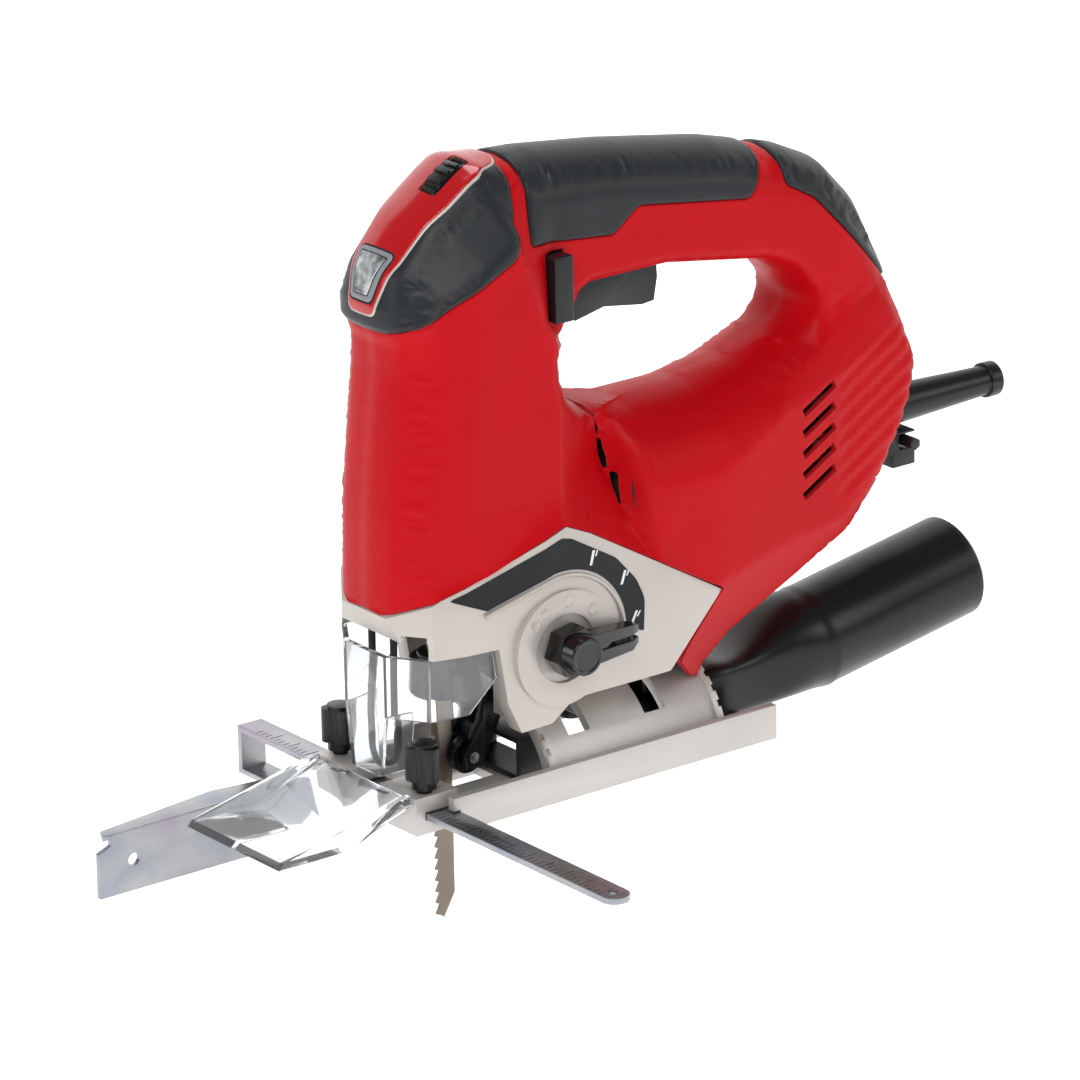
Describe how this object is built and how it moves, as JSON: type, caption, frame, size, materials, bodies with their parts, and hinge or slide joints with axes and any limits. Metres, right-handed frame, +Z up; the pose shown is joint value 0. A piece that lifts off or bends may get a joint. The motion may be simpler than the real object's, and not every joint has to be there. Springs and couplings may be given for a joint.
{
  "type": "jigsaw power tool",
  "caption": "Corded jigsaw with a closed D-handle, orbital blade guide, tilting metal shoe, clear guards, parallel fence and rear dust port.",
  "frame": {"origin": "the middle of the blade slot, where the blade's axis meets the plane of the sole", "axes": "+Z up out of the sole, -X the cutting direction, +Y the side away from the selector knob"},
  "size_m": [0.343, 0.206, 0.2637],
  "materials": {
    "shell_red": "fine moulded texture",
    "inlay_red": "gloss",
    "soft_grip": "satin soft-touch",
    "black_plastic": "satin",
    "dark_plastic": "satin",
    "clear_plastic": "clear polycarbonate",
    "silver_cast": "satin painted casting",
    "shoe_cast": "die-cast, satin",
    "zinc_steel": "bright zinc plate",
    "plain_steel": "ground",
    "blade_steel": "ground, warm",
    "black_oxide": "black oxide",
    "lamination": "stacked sheet",
    "copper": "enamelled copper",
    "brass": "drawn",
    "carbon": "pressed carbon",
    "circuit_board": "lacquered",
    "label_grey": "printed label"
  },
  "bodies": {
    "housing": {"housing_left": "shell_red", "housing_right": "shell_red", "head_cap": "soft_grip", "handle_grip": "soft_grip", "rear_grip": "soft_grip", "top_inlay": "inlay_red", "badge": "silver_cast", "gear_case": "silver_cast", "scale_label": "label_grey", "wire_guard": "black_oxide", "stator": "lamination", "stator_windings": "copper", "front_bearing": "plain_steel", "rear_bearing": "plain_steel", "brush_holders": "brass", "carbon_brushes": "carbon", "brush_springs": "plain_steel", "switch_unit": "black_plastic", "speed_board": "circuit_board", "strain_relief": "black_plastic", "cord_clamp": "black_plastic", "key_clip": "black_plastic", "housing_screws": "zinc_steel", "gear_axle": "plain_steel", "guide_pin": "plain_steel", "lever_pin": "plain_steel", "clamp_plate": "zinc_steel"},
    "armature": {"armature_shaft": "plain_steel", "armature_core": "lamination", "commutator": "copper", "fan": "black_plastic"},
    "crank": {"crank_gear": "plain_steel", "crank_pin": "plain_steel"},
    "guide": {"swivel_guide": "plain_steel", "guide_bushes": "brass"},
    "plunger": {"plunger": "plain_steel", "blade_clamp": "black_oxide", "blade": "blade_steel"},
    "collar": {"clamp_collar": "black_oxide"},
    "pendulum": {"pendulum_lever": "black_oxide", "roller_pin": "plain_steel"},
    "roller": {"guide_roller": "black_oxide"},
    "selector": {"selector_knob": "black_plastic"},
    "trigger": {"trigger": "dark_plastic"},
    "lock_button": {"lock_button": "black_plastic"},
    "speed_wheel": {"speed_wheel": "black_plastic"},
    "shoe": {"base_plate": "shoe_cast", "dust_duct": "black_plastic"},
    "base_screw": {"base_screw": "plain_steel"},
    "port": {"dust_port": "black_plastic"},
    "fence": {"fence": "zinc_steel"},
    "knob_near": {"knob_screw_near": "black_plastic"},
    "knob_far": {"knob_screw_far": "black_plastic"},
    "guard": {"clear_guard": "clear_plastic"},
    "cut_guide": {"cut_line_guide": "clear_plastic"},
    "key": {"hex_key": "black_oxide"}
  },
  "joints": [
    {"name": "armature_spin", "type": "hinge", "parent": "housing", "child": "armature", "pos_m": [0.1, 0, 0.095], "axis": [1, 0, 0], "continuous": true},
    {"name": "crank_spin", "type": "hinge", "parent": "housing", "child": "crank", "pos_m": [0.02, 0, 0.1195], "axis": [1, 0, 0], "continuous": true},
    {"name": "guide_swing", "type": "hinge", "parent": "housing", "child": "guide", "pos_m": [0.014, 0, 0.147], "axis": [0, 1, 0], "range_deg": [0, 1.2]},
    {"name": "blade_stroke", "type": "slide", "parent": "guide", "child": "plunger", "axis": [0, 0, 1], "range_m": [-0.01, 0.01]},
    {"name": "collar_turn", "type": "hinge", "parent": "plunger", "child": "collar", "pos_m": [0, 0, 0.042], "axis": [0, 0, 1], "range_deg": [0, 60], "stiffness_Nm_per_rad": 0.05, "springref_deg": -11.46},
    {"name": "pendulum_swing", "type": "hinge", "parent": "housing", "child": "pendulum", "pos_m": [0.02, 0, 0.044], "axis": [0, 1, 0], "range_deg": [0, 5.1]},
    {"name": "roller_spin", "type": "hinge", "parent": "pendulum", "child": "roller", "pos_m": [0.0076, 0, 0.012], "axis": [0, 1, 0], "continuous": true},
    {"name": "selector_turn", "type": "hinge", "parent": "housing", "child": "selector", "pos_m": [0.027, -0.04, 0.0535], "axis": [0, 1, 0], "range_deg": [-75, 0]},
    {"name": "trigger_press", "type": "hinge", "parent": "housing", "child": "trigger", "pos_m": [0.08, 0, 0.173], "axis": [0, 1, 0], "range_deg": [0, 6], "stiffness_Nm_per_rad": 1, "springref_deg": -2.86},
    {"name": "lock_press", "type": "slide", "parent": "housing", "child": "lock_button", "axis": [0, 1, 0], "range_m": [0, 0.003], "stiffness_N_per_m": 400, "springref_m": -0.001},
    {"name": "wheel_turn", "type": "hinge", "parent": "housing", "child": "speed_wheel", "pos_m": [0.0084, -0.003, 0.2057], "axis": [0, 1, 0], "range_deg": [-135, 135]},
    {"name": "base_tilt", "type": "hinge", "parent": "housing", "child": "shoe", "pos_m": [0, 0, 0], "axis": [1, 0, 0], "range_deg": [-8, 8]},
    {"name": "base_screw_turn", "type": "hinge", "parent": "housing", "child": "base_screw", "pos_m": [0.054, 0, 0.02], "axis": [0, 0, 1], "continuous": true},
    {"name": "port_pull", "type": "slide", "parent": "shoe", "child": "port", "axis": [1, 0, 0], "range_m": [0, 0.03]},
    {"name": "fence_slide", "type": "slide", "parent": "shoe", "child": "fence", "axis": [0, 1, 0], "range_m": [-0.04, 0.06]},
    {"name": "knob_near_turn", "type": "hinge", "parent": "shoe", "child": "knob_near", "pos_m": [-0.025, -0.0234, 0.02], "axis": [0, 0, 1], "continuous": true},
    {"name": "knob_far_turn", "type": "hinge", "parent": "shoe", "child": "knob_far", "pos_m": [-0.025, 0.0234, 0.02], "axis": [0, 0, 1], "continuous": true},
    {"name": "guard_pull", "type": "slide", "parent": "housing", "child": "guard", "axis": [-1, 0, 0], "range_m": [0, 0.03]},
    {"name": "cut_guide_pull", "type": "slide", "parent": "shoe", "child": "cut_guide", "axis": [-1, 0, 0], "range_m": [0, 0.03]},
    {"name": "key_pull", "type": "slide", "parent": "housing", "child": "key", "axis": [1, 0, 0], "range_m": [0, 0.02]}
  ],
  "couplings": [
    {"joint": "crank_spin", "follows": "armature_spin", "ratio": -0.19512},
    {"joint": "pendulum_swing", "follows": "guide_swing", "ratio": 4.25}
  ]
}
